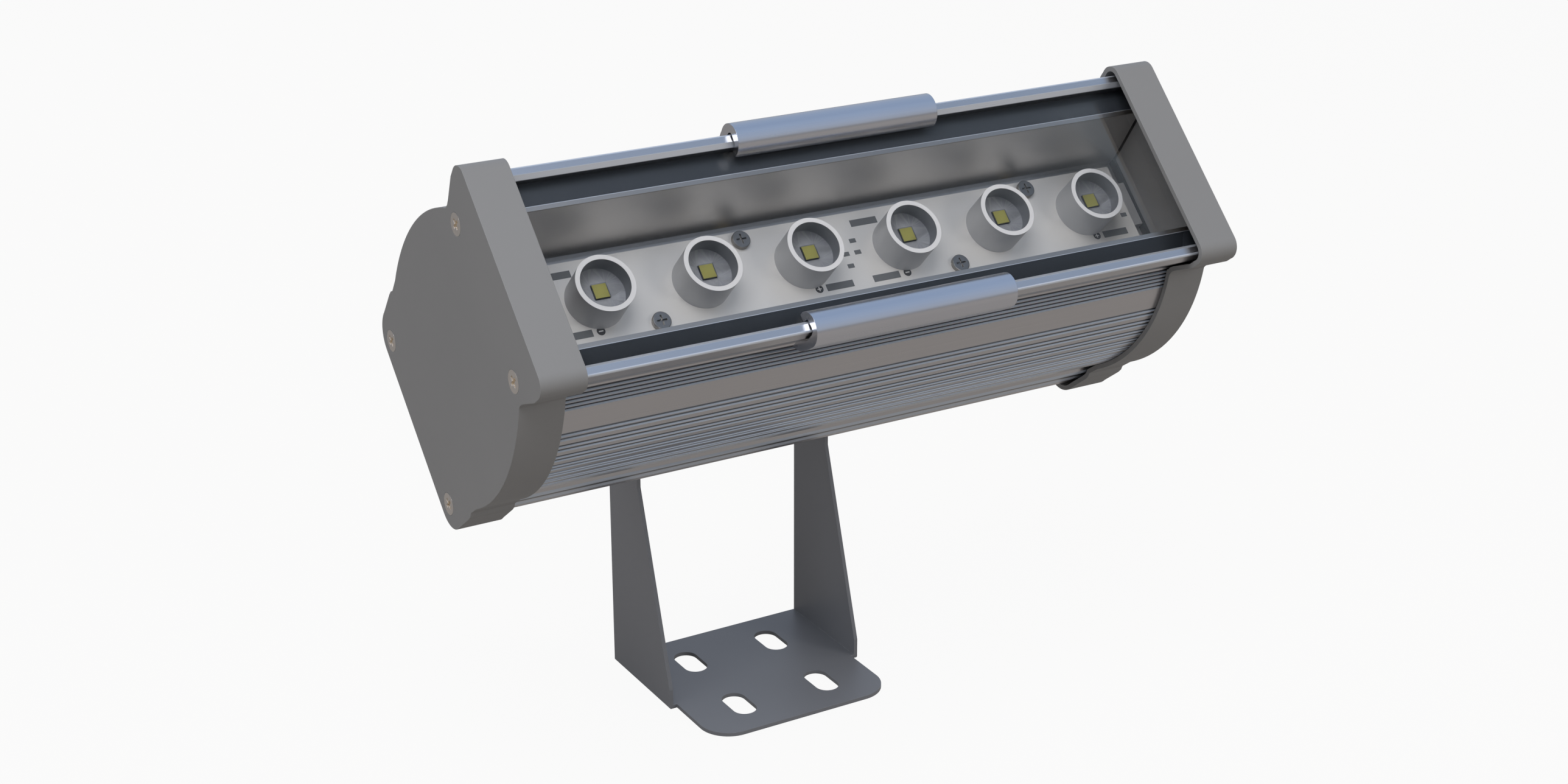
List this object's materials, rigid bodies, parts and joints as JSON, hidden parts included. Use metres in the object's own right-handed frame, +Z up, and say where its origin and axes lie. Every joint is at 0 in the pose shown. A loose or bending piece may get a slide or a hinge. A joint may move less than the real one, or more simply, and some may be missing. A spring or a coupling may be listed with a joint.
{
  "type": "outdoor wall washer light",
  "caption": "Outdoor wall washer light: a ribbed extruded housing with end caps and collimator lenses behind glass, tilting on a folded bracket.",
  "frame": {"origin": "centre of the bracket's base plate, on its underside", "axes": "+X along the lamp, to the right seen from the lit side; +Y away from the lit side; +Z up, out of the mounting face; the housing is tilted 45 degrees at rest"},
  "size_m": [0.3082, 0.158, 0.2557],
  "materials": {
    "sheet": "grey powder coat, fine matt",
    "bolt_steel": "plain stainless",
    "friction": "matt fibre-rubber",
    "profile": "satin anodised, drawn along its length",
    "cap": "light grey fine-grain coat on cast aluminium",
    "gasket": "matt",
    "screw_steel": "plain stainless",
    "glass": "clear, toughened",
    "seal": "satin silicone",
    "sleeve": "bright satin",
    "board": "white solder mask, satin",
    "pad": "soft, matt",
    "spacer": "turned",
    "led": "yellow phosphor",
    "collimator": "light grey, satin",
    "lens": "clear optic",
    "wire": "satin insulation",
    "driver": "green solder mask",
    "driver_part": "matt potting and cases",
    "gland": "nickel plated"
  },
  "bodies": {
    "base": {"bracket": "sheet", "pivot_bolts": "bolt_steel", "pivot_washers": "bolt_steel", "friction_discs": "friction", "pivot_nuts": "bolt_steel"},
    "housing": {"yoke": "sheet", "yoke_screws": "bolt_steel", "yoke_slide_nuts": "bolt_steel", "housing_profile": "profile", "end_cap_left": "cap", "end_cap_right": "cap", "cap_gasket_left": "gasket", "cap_gasket_right": "gasket", "cap_screws_left": "screw_steel", "cap_screws_right": "screw_steel", "front_glass": "glass", "glass_seal_upper": "seal", "glass_seal_lower": "seal", "led_board": "board", "thermal_pad": "pad", "board_screws": "screw_steel", "board_spacers": "spacer", "led_packages": "led", "board_wires": "wire", "wire_grommet": "gasket", "driver_board": "driver", "driver_parts": "driver_part", "driver_standoffs": "spacer", "driver_screws": "bolt_steel", "gland_body": "gland", "gland_bush": "gasket", "gland_dome_nut": "gland", "gland_lock_nut": "gland", "collimator_1": "collimator", "lens_1": "lens", "collimator_2": "collimator", "lens_2": "lens", "collimator_3": "collimator", "lens_3": "lens", "collimator_4": "collimator", "lens_4": "lens", "collimator_5": "collimator", "lens_5": "lens", "collimator_6": "collimator", "lens_6": "lens"},
    "sleeve_upper": {"rail_sleeve_upper": "sleeve"},
    "sleeve_lower": {"rail_sleeve_lower": "sleeve"}
  },
  "joints": [
    {"name": "tilt", "type": "hinge", "parent": "base", "child": "housing", "pos_m": [0, 0.029, 0.11035], "axis": [1, 0, 0], "range_deg": [-135, 45]},
    {"name": "slide_upper", "type": "slide", "parent": "housing", "child": "sleeve_upper", "axis": [1, 0, 0], "range_m": [-0.084, 0.084]},
    {"name": "slide_lower", "type": "slide", "parent": "housing", "child": "sleeve_lower", "axis": [1, 0, 0], "range_m": [-0.084, 0.084]}
  ]
}
